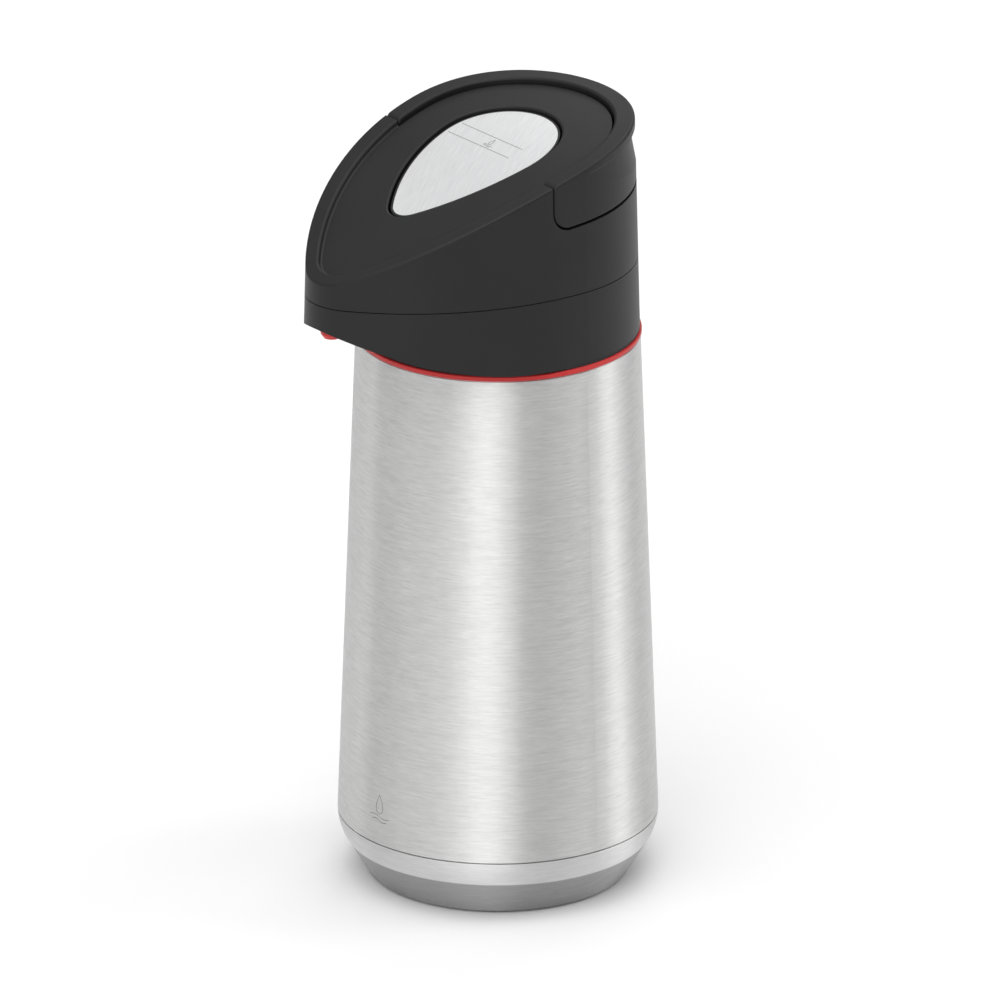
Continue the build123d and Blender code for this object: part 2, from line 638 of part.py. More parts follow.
# ================================================================ head: air pump
with BuildPart() as pump_base:
    with Locations((0, PUMP_Y, PUMP_BASE_Z)):
        Cylinder(34.5, PUMP_Z - PUMP_BASE_Z, align=(Align.CENTER, Align.CENTER, Align.MIN))
        Cylinder(1.3, 10.0, align=(Align.CENTER, Align.CENTER, Align.MIN), mode=Mode.SUBTRACT)
        with PolarLocations(3.2, 4):
            Cylinder(0.9, 10.0, align=(Align.CENTER, Align.CENTER, Align.MIN), mode=Mode.SUBTRACT)
    with Locations(*PUMP_SPOTS_BASE):
        Cylinder(1.5, 10.0, align=(Align.CENTER, Align.CENTER, Align.MIN), mode=Mode.SUBTRACT)
pump_base.part.label = "pump_base"
export_step(pump_base.part, "parts/pump_base.step")

with BuildPart() as pump_screws:
    with Locations(*PUMP_SPOTS_TOP):
        Cylinder(2.7, 1.4, align=(Align.CENTER, Align.CENTER, Align.MIN))
        Cylinder(1.3, 10.0, align=(Align.CENTER, Align.CENTER, Align.MAX))
pump_screws.part.label = "pump_screws"
export_step(pump_screws.part, "parts/pump_screws.step")

with BuildPart() as air_tube:
    with Locations((0, PUMP_Y, DECK_Z0)):
        Cylinder(6.0, PUMP_BASE_Z - DECK_Z0, align=(Align.CENTER, Align.CENTER, Align.MIN))
        Cylinder(4.5, 20.0, align=(Align.CENTER, Align.CENTER, Align.MIN), mode=Mode.SUBTRACT)
air_tube.part.label = "air_tube"
export_step(air_tube.part, "parts/air_tube.step")

with BuildPart() as air_valve:
    with Locations((0, PUMP_Y, PUMP_Z)):
        Cylinder(5.5, 0.9, align=(Align.CENTER, Align.CENTER, Align.MIN))
        Cylinder(1.25, 6.0, align=(Align.CENTER, Align.CENTER, Align.MAX))
air_valve.part.label = "air_valve"
export_step(air_valve.part, "parts/air_valve.step")

with BuildPart() as bellows:
    fold = (BELLOWS_Z1 - PUMP_Z - 2.0) / 7
    outside = [(BELLOWS_R - 5, PUMP_Z)]
    inside = [(BELLOWS_R - 6, PUMP_Z)]
    for i in range(7):
        z = PUMP_Z + 1.0 + fold * i
        outside += [(BELLOWS_R - 5, z), (BELLOWS_R, z + fold / 2)]
        inside += [(BELLOWS_R - 6, z), (BELLOWS_R - 1, z + fold / 2)]
    outside += [(BELLOWS_R - 5, BELLOWS_Z1 - 1), (BELLOWS_R - 5, BELLOWS_Z1)]
    inside += [(BELLOWS_R - 6, BELLOWS_Z1 - 1), (BELLOWS_R - 6, BELLOWS_Z1)]
    with BuildSketch(Plane.XZ.offset(-PUMP_Y)):
        with BuildLine():
            Polyline(*outside, *reversed(inside), close=True)
        make_face()
    revolve(axis=Axis((0, PUMP_Y, 0), (0, 0, 1)))
bellows.part.label = "bellows"
export_step(bellows.part, "parts/bellows.step")

with BuildPart() as return_spring:
    with BuildLine(Plane((0, PUMP_Y, PUMP_Z + 0.7))):
        coil = Helix(pitch=6.8, height=BELLOWS_Z1 - PUMP_Z - 1.4, radius=10.0)
    with BuildSketch(Plane(origin=coil @ 0, z_dir=coil % 0)):
        Circle(0.65)
    sweep(path=coil, is_frenet=True)
return_spring.part.label = "return_spring"
export_step(return_spring.part, "parts/return_spring.step")

# ================================================================ button
with BuildPart() as push_button:
    add(button_block(BUTTON_BORDER, BUTTON_Z0, ABOVE) & under_top(PLATE_DROP))
    add(button_block(0, 290.0, ABOVE) - under_top(PLATE_DROP + PLATE_T), mode=Mode.SUBTRACT)
    hollow = button_block(BUTTON_BORDER - 2.0, 290.0, ABOVE) & under_top(PLATE_DROP + PLATE_T + 2.2)
    add(hollow, mode=Mode.SUBTRACT)
    # boss down to the bellows cap
    with Locations((0, PUMP_Y, CAP_Z1)):
        boss = Cylinder(7.0, 30.0, align=(Align.CENTER, Align.CENTER, Align.MIN), mode=Mode.PRIVATE)
    add(boss & under_top(PLATE_DROP + PLATE_T + 0.4))
    with Locations((0, PUMP_Y, CAP_Z1)):
        Cylinder(1.5, 9.0, align=(Align.CENTER, Align.CENTER, Align.MIN), mode=Mode.SUBTRACT)
    # catches that stop the button under the guide wall
    with Locations((DROP_R + 1.1, PUMP_Y, BUTTON_Z0), (-DROP_R - 1.1, PUMP_Y, BUTTON_Z0)):
        Box(3.0, 12.0, 2.0, align=(Align.CENTER, Align.CENTER, Align.MIN))
    with Locations((0, PUMP_Y + DROP_R + 1.1, BUTTON_Z0)):
        Box(12.0, 3.0, 2.0, align=(Align.CENTER, Align.CENTER, Align.MIN))
push_button.part.label = "push_button"
export_step(push_button.part, "parts/push_button.step")

with BuildPart() as button_plate:
    add(button_block(0, 300.0, ABOVE) & (under_top(PLATE_DROP) - under_top(PLATE_DROP + PLATE_T)))
button_plate.part.label = "button_plate"
export_step(button_plate.part, "parts/button_plate.step")

with BuildPart() as bellows_cap:
    with Locations((0, PUMP_Y, BELLOWS_Z1)):
        Cylinder(24.0, CAP_Z1 - BELLOWS_Z1, align=(Align.CENTER, Align.CENTER, Align.MIN))
        Cylinder(1.7, 10.0, align=(Align.CENTER, Align.CENTER, Align.MIN), mode=Mode.SUBTRACT)
        with Locations((15.5, 0, 0)):
            Cylinder(2.0, 10.0, align=(Align.CENTER, Align.CENTER, Align.MIN), mode=Mode.SUBTRACT)
bellows_cap.part.label = "bellows_cap"
export_step(bellows_cap.part, "parts/bellows_cap.step")

with BuildPart() as cap_screw:
    with Locations((0, PUMP_Y, BELLOWS_Z1)):
        Cylinder(3.6, 2.0, align=(Align.CENTER, Align.CENTER, Align.MAX))
        Cylinder(1.5, 11.5, align=(Align.CENTER, Align.CENTER, Align.MIN))
cap_screw.part.label = "cap_screw"
export_step(cap_screw.part, "parts/cap_screw.step")

with BuildPart() as vent_valve:
    with Locations((15.5, PUMP_Y, CAP_Z1)):
        Cylinder(3.4, 1.5, align=(Align.CENTER, Align.CENTER, Align.MIN))
        Cylinder(1.95, CAP_Z1 - BELLOWS_Z1, align=(Align.CENTER, Align.CENTER, Align.MAX))
vent_valve.part.label = "vent_valve"
export_step(vent_valve.part, "parts/vent_valve.step")

# ================================================================ handle
with BuildPart() as carry_handle:
    shape = head_block(0, HANDLE_Z0 - 1, ABOVE) & under_top(0) & handle_side(0)
    add(shape - panel_block(-0.1, ROOM_Z, ABOVE))
    fillet([e for e in edges() if on_top(e, 0) and near_end(e)], radius=HANDLE_TOP_R)
    fillet([e for e in edges() if on_top(e, 0) and e.length > 30], radius=RIM_ROUND)
    # hollow behind the skirt, leaving a solid block at each pivot
    with BuildSketch(Plane.XY.offset(HANDLE_Z0 - 1)):
        with Locations((0, 3.0)):
            Rectangle(FAR, FAR, align=(Align.CENTER, Align.MIN))
    behind = extrude(amount=FAR, mode=Mode.PRIVATE)
    channel = head_block(HANDLE_SKIRT, ROOM_Z, ABOVE) - head_block(RIM_W + 6, ROOM_Z - 1, ABOVE + 1)
    add(channel & under_top(RIM_T) & behind, mode=Mode.SUBTRACT)
    # finger groove under the rim, deepest at the back and fading towards the pivots
    with BuildSketch(Plane.XZ.offset(GROOVE_SHIFT)):
        with BuildLine():
            Line((GROOVE_R + GROOVE_SPREAD, -GROOVE_DEPTH), (GROOVE_R, 0))
            RadiusArc((GROOVE_R, 0), (GROOVE_R + 1.2, 1.2), 1.2)
            Polyline(
                (GROOVE_R + 1.2, 1.2),
                (FAR / 4, 1.6),
                (FAR / 4, -GROOVE_DEPTH),
                (GROOVE_R + GROOVE_SPREAD, -GROOVE_DEPTH),
            )
        make_face()
    groove = revolve(axis=Axis((0, -GROOVE_SHIFT, 0), (0, 0, 1)), mode=Mode.PRIVATE)
    groove = Pos(0, 0, GROOVE_Z) * Rot(GROOVE_TILT, 0, 0) * groove
    add(groove & behind, mode=Mode.SUBTRACT)
    # blind bores for the pins
    with Locations((0, -PIVOT_F, PIVOT_Z)):
        with Locations(Rotation(0, 90, 0)):
            Cylinder(PIN_R + PIN_CLEAR, 2 * PIN_END + 1, mode=Mode.SUBTRACT)
carry_handle.part.label = "carry_handle"
export_step(carry_handle.part, "parts/carry_handle.step")

with BuildPart() as handle_pins:
    with Locations((0, -PIVOT_F, PIVOT_Z)):
        with Locations(Rotation(0, 90, 0)):
            Cylinder(PIN_R, 2 * PIN_END)
            Cylinder(PIN_R + 1, 91.0, mode=Mode.SUBTRACT)
handle_pins.part.label = "handle_pins"
export_step(handle_pins.part, "parts/handle_pins.step")
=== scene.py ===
# %% [markdown]
# # Pump pot, visual model
# A steel pump pot stands on a table: a tapered brushed bottle, a dark plastic pouring head with a
# steel button on top, and a red ring between them. The pieces come from the CAD frame, so their
# shapes are already right. What is left is how each one looks, and the thin details that are too
# small to be worth modelling in CAD.

# %% Load the frame
import bpy
import json
import math
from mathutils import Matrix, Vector


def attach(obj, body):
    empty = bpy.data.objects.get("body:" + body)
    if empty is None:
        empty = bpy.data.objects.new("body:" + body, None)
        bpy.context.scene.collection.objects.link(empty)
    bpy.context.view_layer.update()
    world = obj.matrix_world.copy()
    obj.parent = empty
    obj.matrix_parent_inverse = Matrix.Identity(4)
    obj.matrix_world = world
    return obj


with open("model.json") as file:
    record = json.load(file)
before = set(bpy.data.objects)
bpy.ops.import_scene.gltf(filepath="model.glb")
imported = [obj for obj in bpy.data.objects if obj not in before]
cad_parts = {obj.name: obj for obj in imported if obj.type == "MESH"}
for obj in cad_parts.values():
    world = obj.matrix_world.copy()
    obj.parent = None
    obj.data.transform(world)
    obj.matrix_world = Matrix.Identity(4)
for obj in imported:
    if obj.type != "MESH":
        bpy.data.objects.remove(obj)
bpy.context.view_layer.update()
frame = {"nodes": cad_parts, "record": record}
NODES = frame["nodes"]
MM = 0.001

# %% [markdown]
# ## Camera
# A product picture is often taken from far off with a long lens, so that upright edges stay almost
# parallel. The same view could be made with an orthographic camera. A long lens far away was chosen
# because it keeps the slight narrowing that a real lens has. It looks down on the nose side from
# the right.

# %% Camera
VIEW_AZ = math.radians(51.6)
VIEW_EL = math.radians(21.21)
VIEW_DIST = 12.5  # metres; so far away that the perspective is almost gone
VIEW_WIDTH = 0.45  # metres seen across the picture at the pot
SENSOR = 36.0
TARGET = Vector((0.00056, 0.00071, 0.1768))
OUT = Vector((
    math.sin(VIEW_AZ) * math.cos(VIEW_EL),
    -math.cos(VIEW_AZ) * math.cos(VIEW_EL),
    math.sin(VIEW_EL),
))
cam_data = bpy.data.cameras.new("camera")
cam_data.sensor_width = SENSOR
cam_data.lens = SENSOR * VIEW_DIST / VIEW_WIDTH
cam_data.clip_start = 0.1
cam_data.clip_end = 200.0
cam = bpy.data.objects.new("camera", cam_data)
bpy.context.scene.collection.objects.link(cam)
cam.location = TARGET + OUT * VIEW_DIST
cam.rotation_euler = (cam.location - TARGET).to_track_quat("Z", "Y").to_euler()
bpy.context.scene.camera = cam
bpy.context.scene.view_settings.view_transform = "Standard"
print("camera at", [round(v, 2) for v in cam.location])

# %% [markdown]
# ## Node helpers
# A material is a tree of nodes with links between sockets. Written out in full it takes many lines,
# so these wrappers add a node and fill its inputs in one call.

# %% Helpers
def new_group(name, inputs, outputs):
    """A shader node group with named sockets: inputs are (name, type, default)."""
    g = bpy.data.node_groups.new(name, "ShaderNodeTree")
    for label, kind, default in inputs:
        s = g.interface.new_socket(label, in_out="INPUT", socket_type=kind)
        s.default_value = default
    for label, kind in outputs:
        g.interface.new_socket(label, in_out="OUTPUT", socket_type=kind)
    return g, g.nodes.new("NodeGroupInput"), g.nodes.new("NodeGroupOutput")


def node(tree, kind, props=None, **links):
    """Adds a node; links maps input names (or in_N) to a socket or a value."""
    n = tree.nodes.new(kind)
    for key, value in (props or {}).items():
        setattr(n, key, value)
    for key, value in links.items():
        sock = n.inputs[int(key[3:])] if key.startswith("in_") else n.inputs[key.replace("_", " ")]
        if isinstance(value, bpy.types.NodeSocket):
            tree.links.new(value, sock)
        else:
            sock.default_value = value
    return n


def math_node(tree, op, a, b=0.0):
    """The output socket of one math node."""
    return node(tree, "ShaderNodeMath", {"operation": op}, in_0=a, in_1=b).outputs[0]


# %% [markdown]
# ## Brushing round the bottle
# The bottle is brushed while it spins, which leaves fine scratches that run round it. A picture of
# brushed steel would have a seam and turn coarse close up, so noise is stretched along the
# angle round the Z axis in place of it. A node group holds the pattern, and all the round steel
# pieces share it.

# %% Brushing round an axis
ROUND_LINES = 5200.0  # how closely the scratches lie, per metre of height
ROUND_LENGTH = 14.0  # how often a scratch ends, per radian round the axis


def brush_round_group():
    """Fine scratches running round the Z axis."""
    t, i, o = new_group(
        "brush_round",
        [
            ("Vector", "NodeSocketVector", (0, 0, 0)),
            ("Lines", "NodeSocketFloat", ROUND_LINES),
            ("Length", "NodeSocketFloat", ROUND_LENGTH),
        ],
        [("Streak", "NodeSocketFloat")],
    )
    sep = node(t, "ShaderNodeSeparateXYZ", Vector=i.outputs["Vector"])
    ang = math_node(t, "ARCTAN2", sep.outputs[1], sep.outputs[0])
    # the angle is stretched far less than the height, so each scratch is long but has two ends
    turn = math_node(t, "MULTIPLY", ang, i.outputs["Length"])
    high = math_node(t, "MULTIPLY", sep.outputs[2], i.outputs["Lines"])
    v = node(t, "ShaderNodeCombineXYZ", X=turn, Y=high)
    fine = node(
        t, "ShaderNodeTexNoise", {"noise_dimensions": "3D"},
        Vector=v.outputs[0], Scale=1.0, Detail=3.0, Roughness=0.6,
    )
    # a second, broader set away from the first keeps the brushing from looking even
    turn2 = math_node(t, "MULTIPLY", turn, 0.45)
    high2 = math_node(t, "MULTIPLY", high, 0.22)
    v2 = node(t, "ShaderNodeCombineXYZ", X=turn2, Y=high2, Z=7.3)
    broad = node(
        t, "ShaderNodeTexNoise", {"noise_dimensions": "3D"},
        Vector=v2.outputs[0], Scale=1.0, Detail=2.0, Roughness=0.5,
    )
    fine_part = math_node(t, "MULTIPLY", fine.outputs[0], 0.6)
    broad_part = math_node(t, "MULTIPLY", broad.outputs[0], 0.4)
    mix = math_node(t, "ADD", fine_part, broad_part)
    t.links.new(mix, o.inputs["Streak"])
    return t


ROUND = brush_round_group()
print("node group:", ROUND.name)

# %% [markdown]
# ## Brushing along a line
# The button's steel face is brushed flat on a belt, so its scratches are straight and slanted. The
# round pattern would bend them. This group stretches the same kind of noise along one direction,
# and an angle turns it.

# %% Brushing along a line
def brush_line_group():
    """Fine straight scratches, turned from Y by Angle."""
    t, i, o = new_group(
        "brush_line",
        [
            ("Vector", "NodeSocketVector", (0, 0, 0)),
            ("Lines", "NodeSocketFloat", 2300.0),
            ("Length", "NodeSocketFloat", 75.0),
            ("Angle", "NodeSocketFloat", 0.0),
        ],
        [("Streak", "NodeSocketFloat")],
    )
    turned = node(
        t, "ShaderNodeVectorRotate", {"rotation_type": "Z_AXIS"},
        Vector=i.outputs["Vector"], Angle=i.outputs["Angle"],
    )
    sep = node(t, "ShaderNodeSeparateXYZ", Vector=turned.outputs[0])
    v = node(
        t,
        "ShaderNodeCombineXYZ",
        X=math_node(t, "MULTIPLY", sep.outputs[0], i.outputs["Lines"]),
        Y=math_node(t, "MULTIPLY", sep.outputs[1], i.outputs["Length"]),
    )
    fine = node(t, "ShaderNodeTexNoise", Vector=v.outputs[0], Scale=1.0, Detail=3.0, Roughness=0.65)
    t.links.new(fine.outputs[0], o.inputs["Streak"])
    return t


LINE = brush_line_group()
print("node group:", LINE.name)

# %% [markdown]
# ## Grain of moulded plastic
# The mould of the head has a fine spark-eroded surface, and the plastic takes it over. It is too
# small for real bumps, so fine noise moves the surface normal and the gloss a little. A slow second
# noise keeps large faces from looking painted.

# %% Grain of moulded plastic
GRAIN_SCALE = 2600.0  # grains per metre


def grain_group():
    """Very fine spark-eroded grain and a slow unevenness."""
    t, i, o = new_group(
        "grain",
        [("Vector", "NodeSocketVector", (0, 0, 0)), ("Scale", "NodeSocketFloat", GRAIN_SCALE)],
        [("Grain", "NodeSocketFloat"), ("Slow", "NodeSocketFloat")],
    )
    place = i.outputs["Vector"]
    fine = node(t, "ShaderNodeTexNoise", Vector=place, Scale=i.outputs["Scale"], Detail=2.0, Roughness=0.6)
    slow = node(t, "ShaderNodeTexNoise", Vector=place, Scale=30.0, Detail=2.0, Roughness=0.5)
    t.links.new(fine.outputs[0], o.inputs["Grain"])
    t.links.new(slow.outputs[0], o.inputs["Slow"])
    return t


GRAIN = grain_group()
print("node group:", GRAIN.name)

# %% [markdown]
# ## Tools for the materials
# Every material starts from the same Principled shader and reads Object coordinates, which lie in
# the shared frame. These helpers place a pattern, spread it over two colours or two numbers, and
# turn it into a slight relief.

# %% Tools for the materials
def start_material(name):
    """A new material, its tree, its shader and its Object coordinates."""
    m = bpy.data.materials.new(name)
    m.use_nodes = True
    t = m.node_tree
    b = t.nodes["Principled BSDF"]
    coord = t.nodes.new("ShaderNodeTexCoord").outputs["Object"]
    return m, t, b, coord


def use_group(t, group, vector, **values):
    """Places a shared node group and sets its inputs."""
    n = t.nodes.new("ShaderNodeGroup")
    n.node_tree = group
    t.links.new(vector, n.inputs["Vector"])
    for key, value in values.items():
        n.inputs[key].default_value = value
    return n


def spread(t, value, lo, hi, dark, light):
    """Maps value from lo..hi to a mix of two colours or two numbers."""
    r = node(t, "ShaderNodeMapRange", {"clamp": True}, Value=value)
    r.inputs["From Min"].default_value = lo
    r.inputs["From Max"].default_value = hi
    if isinstance(dark, (int, float)):
        r.inputs["To Min"].default_value = dark
        r.inputs["To Max"].default_value = light
        return r.outputs[0]
    mix = node(t, "ShaderNodeMix", {"data_type": "RGBA"})
    t.links.new(r.outputs[0], mix.inputs["Factor"])
    mix.inputs[6].default_value = (*dark, 1)
    mix.inputs[7].default_value = (*light, 1)
    return mix.outputs[2]


def bump(t, b, height, strength, distance):
    """Turns a pattern into a slight relief of the shader's normal."""
    n = node(t, "ShaderNodeBump", Height=height, Strength=strength, Distance=distance)
    t.links.new(n.outputs[0], b.inputs["Normal"])


print("material tools ready")

# %% [markdown]
# ## Brushed steel
# Brushed steel spreads a highlight across its scratches, which is why the bottle shows upright
# bands. Plain roughness would give a round blur, so the shader's anisotropy is used, with its
# tangent going round the axis or along the brushing. The scratches also vary the colour and the
# gloss a little.

# %% Brushed steel
RELIEF = 0.004  # depth of the scratches in millimetres
PLATE_SLANT = 29  # degrees by which the brushing of the plate is turned
EDGE_SOFT = 0.3  # millimetres over which a tone changes on the base


def steel_round(name, dark, light, rough, aniso, lines=ROUND_LINES, length=ROUND_LENGTH):
    """Steel that was brushed while it turned round the Z axis."""
    m, t, b, c = start_material(name)
    s = use_group(t, ROUND, c, Lines=lines, Length=length)
    t.links.new(spread(t, s.outputs["Streak"], 0.3, 0.7, dark, light), b.inputs["Base Color"])
    t.links.new(spread(t, s.outputs["Streak"], 0.3, 0.7, rough + 0.05, rough - 0.04), b.inputs["Roughness"])
    b.inputs["Metallic"].default_value = 1.0
    b.inputs["Anisotropic"].default_value = aniso
    b.inputs["Anisotropic Rotation"].default_value = 0.25
    tan = node(t, "ShaderNodeTangent", {"direction_type": "RADIAL", "axis": "Z"})
    t.links.new(tan.outputs[0], b.inputs["Tangent"])
    bump(t, b, s.outputs["Streak"], 0.25, RELIEF * MM)
    return m


def steel_line(name, dark, light, rough, aniso, metal=1.0):
    """Steel that was brushed flat; metal under 1 makes it paler."""
    m, t, b, c = start_material(name)
    s = use_group(t, LINE, c, Angle=math.radians(-PLATE_SLANT))
    t.links.new(spread(t, s.outputs["Streak"], 0.32, 0.68, dark, light), b.inputs["Base Color"])
    t.links.new(spread(t, s.outputs["Streak"], 0.3, 0.7, rough + 0.06, rough - 0.05), b.inputs["Roughness"])
    b.inputs["Metallic"].default_value = metal
    b.inputs["Anisotropic"].default_value = aniso
    slant = math.radians(PLATE_SLANT)
    along = node(t, "ShaderNodeCombineXYZ", X=math.cos(slant), Y=math.sin(slant), Z=0.0)
    t.links.new(along.outputs[0], b.inputs["Tangent"])
    bump(t, b, s.outputs["Streak"], 0.3, RELIEF * MM)
    return m


def painted_shade_below(m, height_mm, factor):
    """Darkens the colour under a height: painted shade for the cone of the base, which faces the table and
    gets less light.
    """
    t = m.node_tree
    b = t.nodes["Principled BSDF"]
    old = b.inputs["Base Color"].links[0].from_socket
    place = t.nodes["Texture Coordinate"].outputs["Object"]
    z = node(t, "ShaderNodeSeparateXYZ", Vector=place).outputs[2]
    shade = node(t, "ShaderNodeMapRange", {"clamp": True}, Value=z)
    shade.inputs["From Min"].default_value = (height_mm - EDGE_SOFT) * MM
    shade.inputs["From Max"].default_value = (height_mm + EDGE_SOFT) * MM
    shade.inputs["To Min"].default_value = factor
    shade.inputs["To Max"].default_value = 1.0
    mul = node(t, "ShaderNodeVectorMath", {"operation": "SCALE"}, in_0=old, Scale=shade.outputs[0])
    t.links.new(mul.outputs[0], b.inputs["Base Color"])
    return m


print("steel materials ready to make")

# %% [markdown]
# ## Plastic and rubber
# The head is a satin charcoal plastic, the ring and the nozzle a red one, and the seals and feet
# are rubber. They differ in colour, gloss and grain only, so one function makes them all.

# %% Plastic and rubber
def plastic(name, dark, light, rough, scale=GRAIN_SCALE, strength=0.12, specular=0.5):
    """Moulded plastic or rubber with a fine grain."""
    m, t, b, c = start_material(name)
    s = use_group(t, GRAIN, c, Scale=scale)
    t.links.new(spread(t, s.outputs["Slow"], 0.3, 0.7, dark, light), b.inputs["Base Color"])
    t.links.new(spread(t, s.outputs["Grain"], 0.3, 0.7, rough - 0.04, rough + 0.06), b.inputs["Roughness"])
    b.inputs["IOR"].default_value = 1.47
    b.inputs["Specular IOR Level"].default_value = specular
    bump(t, b, s.outputs["Grain"], strength, 0.03 * MM)
    return m


print("plastic materials ready to make")

# %% [markdown]
# ## One material for each slot
# The record names a material slot for every piece. One table holds all of them, with the darker and
# the lighter colour of the pattern first and the roughness next. The cone under the base cup turns
# to the table and gets less light, so painted shade darkens its colour below a height.

# %% One material for each slot
CONE_TOP = 17.6  # height of the cone under the base cup in millimetres
# painted shade: the colour of the cone is multiplied by this below CONE_TOP, since it faces the table
CONE_SHADE = 0.53

MATERIALS = {
    "body_steel": steel_round("body_steel", (0.58, 0.58, 0.575), (0.76, 0.76, 0.755), 0.37, 1.0),
    # the base steel gets painted shade on its cone, below CONE_TOP
    "base_steel": painted_shade_below(
        steel_round("base_steel", (0.66, 0.66, 0.66), (0.78, 0.78, 0.78), 0.5, 0.9),
        CONE_TOP, CONE_SHADE,
    ),
    "plain_steel": steel_round(
        "plain_steel", (0.50, 0.50, 0.49), (0.58, 0.58, 0.57), 0.30, 0.5, lines=2600.0, length=8.0,
    ),
    "plate_steel": steel_line(
        "plate_steel", (0.76, 0.765, 0.77), (0.95, 0.955, 0.96), 0.38, 0.5, metal=0.72,
    ),
    "fastener_steel": steel_round(
        "fastener_steel", (0.48, 0.48, 0.5), (0.6, 0.6, 0.62), 0.28, 0.2, lines=9000.0, length=20.0,
    ),
    "head_plastic": plastic(
        "head_plastic", (0.0110, 0.0110, 0.0111), (0.0135, 0.0135, 0.0136), 0.45, specular=0.3,
    ),
    "inner_plastic": plastic("inner_plastic", (0.018, 0.018, 0.018), (0.024, 0.024, 0.024), 0.55),
    "clear_white_plastic": plastic(
        "clear_white_plastic", (0.70, 0.70, 0.66), (0.78, 0.78, 0.74), 0.32, 900.0, 0.06,
    ),
    "bellows_plastic": plastic(
        "bellows_plastic", (0.62, 0.62, 0.58), (0.70, 0.70, 0.66), 0.45, 900.0, 0.08,
    ),
    "red_plastic": plastic(
        "red_plastic", (0.49, 0.020, 0.020), (0.55, 0.028, 0.028), 0.36, 1800.0, 0.05, specular=0.35,
    ),
    "seal_rubber": plastic("seal_rubber", (0.50, 0.48, 0.45), (0.58, 0.56, 0.52), 0.6, 1500.0, 0.1),
    "foot_rubber": plastic(
        "foot_rubber", (0.014, 0.014, 0.014), (0.022, 0.022, 0.022), 0.75, 1400.0, 0.25,
    ),
}
SLOT_OF = {s["node"]: s["material_slot"] for s in frame["record"]["subparts"]}
for name, obj in NODES.items():
    obj.data.materials.clear()
    obj.data.materials.append(MATERIALS[SLOT_OF[name]])
print(len(MATERIALS), "materials")

# %% [markdown]
# ## Trees for the fine details
# Thin engraved lines follow a surface, and treads and lugs repeat in rings. Both could be modelled
# by hand, but a Geometry Nodes tree keeps their sizes as inputs. Each tree ends in real geometry
# with its material, because instances would be dropped on export.

# %% Trees for the fine details
def geo_group(name, inputs):
    """A Geometry Nodes tree with named inputs after the geometry itself."""
    g = bpy.data.node_groups.new(name, "GeometryNodeTree")
    g.interface.new_socket("Geometry", in_out="INPUT", socket_type="NodeSocketGeometry")
    for label, kind in inputs:
        g.interface.new_socket(label, in_out="INPUT", socket_type=kind)
    g.interface.new_socket("Geometry", in_out="OUTPUT", socket_type="NodeSocketGeometry")
    return g, g.nodes.new("NodeGroupInput"), g.nodes.new("NodeGroupOutput")


def close_tree(g, i, o, geometry):
    """Every tree ends the same way: real geometry with its material."""
    real = node(g, "GeometryNodeRealizeInstances", in_0=geometry)
    paint = node(g, "GeometryNodeSetMaterial", Geometry=real.outputs[0], Material=i.outputs["Material"])
    g.links.new(paint.outputs[0], o.inputs[0])
    return g


def groove_tree():
    """A thin round thread along every edge of the input mesh."""
    g, i, o = geo_group("groove_line", [("Radius", "NodeSocketFloat"), ("Material", "NodeSocketMaterial")])
    path = node(g, "GeometryNodeMeshToCurve", Mesh=i.outputs["Geometry"])
    ring = node(g, "GeometryNodeCurvePrimitiveCircle", Resolution=6, Radius=i.outputs["Radius"])
    tube = node(
        g, "GeometryNodeCurveToMesh",
        Curve=path.outputs[0], Profile_Curve=ring.outputs[0], Fill_Caps=True,
    )
    return close_tree(g, i, o, tube.outputs[0])


def ring_tree():
    """Blocks repeated round the Z axis, each pointing outward."""
    g, i, o = geo_group(
        "ring_of_blocks",
        [
            ("Count", "NodeSocketInt"),
            ("Radius", "NodeSocketFloat"),
            ("Height", "NodeSocketFloat"),
            ("Size", "NodeSocketVector"),
            ("Material", "NodeSocketMaterial"),
        ],
    )
    spots = node(g, "GeometryNodeMeshCircle", Vertices=i.outputs["Count"], Radius=i.outputs["Radius"])
    block = node(g, "GeometryNodeMeshCube", Size=i.outputs["Size"])
    index = node(g, "GeometryNodeInputIndex")
    turn = math_node(g, "DIVIDE", math_node(g, "MULTIPLY", index.outputs[0], 2 * math.pi), i.outputs["Count"])
    rotation = node(g, "ShaderNodeCombineXYZ", Z=turn)
    copies = node(
        g, "GeometryNodeInstanceOnPoints",
        Points=spots.outputs[0], Instance=block.outputs[0], Rotation=rotation.outputs[0],
    )
    lifted = node(g, "ShaderNodeCombineXYZ", Z=i.outputs["Height"])
    moved = node(g, "GeometryNodeTransform", Geometry=copies.outputs[0], Translation=lifted.outputs[0])
    return close_tree(g, i, o, moved.outputs[0])


GROOVE = groove_tree()
RING = ring_tree()
print("trees:", GROOVE.name, RING.name)

# %% [markdown]
# ## From a tree to a plain mesh
# A live modifier doesn't survive the export, and a piece must belong to the body it moves with. So
# the tree is run once, its result is kept as a plain mesh, and only then does the piece join a body.

# %% From a tree to a plain mesh
def grown(name, group, mesh, body, slot, **values):
    """Runs a tree on a mesh and keeps the result as a plain mesh on a body."""
    obj = bpy.data.objects.new(name, mesh)
    bpy.context.scene.collection.objects.link(obj)
    mod = obj.modifiers.new("tree", "NODES")
    mod.node_group = group
    ids = {s.name: s.identifier for s in group.interface.items_tree if s.in_out == "INPUT"}
    for key, value in values.items():
        mod[ids[key]] = value
    bpy.context.view_layer.update()
    final = bpy.data.meshes.new_from_object(obj.evaluated_get(bpy.context.evaluated_depsgraph_get()))
    obj.modifiers.remove(mod)
    obj.data = final
    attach(obj, body)
    return obj


print("details can be grown")

# %% [markdown]
# ## Drawings
# The plate and the bottle carry a plain water mark: a drop over two ripples. It is drawn as flat
# lists of points in millimetres, which is all that the tree for thin lines needs.

# %% Drawings
BODY_OF = {n: b for b, ns in frame["record"]["behaviour"]["bodies"].items() for n in ns}


